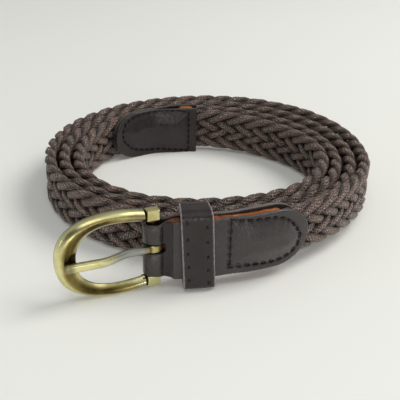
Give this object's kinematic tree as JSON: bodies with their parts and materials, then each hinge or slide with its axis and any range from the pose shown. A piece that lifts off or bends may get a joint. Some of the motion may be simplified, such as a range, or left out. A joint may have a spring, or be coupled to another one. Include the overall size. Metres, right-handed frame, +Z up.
{
  "type": "braided belt",
  "caption": "Narrow braided cord belt with leather ends, a keeper and a brass prong buckle, wound into a loose coil that stands on its edge.",
  "frame": {"origin": "on the floor, under the middle of the whole belt's bounding box", "axes": "+Z up, along the width of the standing strap; -Y towards the buckle; the buckle points to -X"},
  "size_m": [0.1182, 0.1404, 0.0266],
  "materials": {
    "cord": "waxed, fibrous",
    "leather": "fine grain, satin",
    "keeper_leather": "fine grain, satin, pale raw edges",
    "core": "raw cut edge",
    "brass": "antique, worn bright on its edges"
  },
  "bodies": {
    "strap": {"braid_band": "cord", "tab_leather": "leather", "tab_core": "core", "keeper": "keeper_leather", "tip_inner_leather": "leather", "tip_outer_leather": "leather", "tip_core": "core"},
    "frame": {"buckle_frame": "brass"},
    "prong": {"buckle_prong": "brass"}
  },
  "joints": [
    {"name": "frame_hinge", "type": "hinge", "parent": "strap", "child": "frame", "pos_m": [-0.01559, -0.05607, 0.0133], "axis": [0, 0, 1], "range_deg": [-20, 15]},
    {"name": "prong_hinge", "type": "hinge", "parent": "frame", "child": "prong", "pos_m": [-0.01559, -0.05607, 0.0133], "axis": [0, 0, 1], "range_deg": [0, 55]}
  ]
}
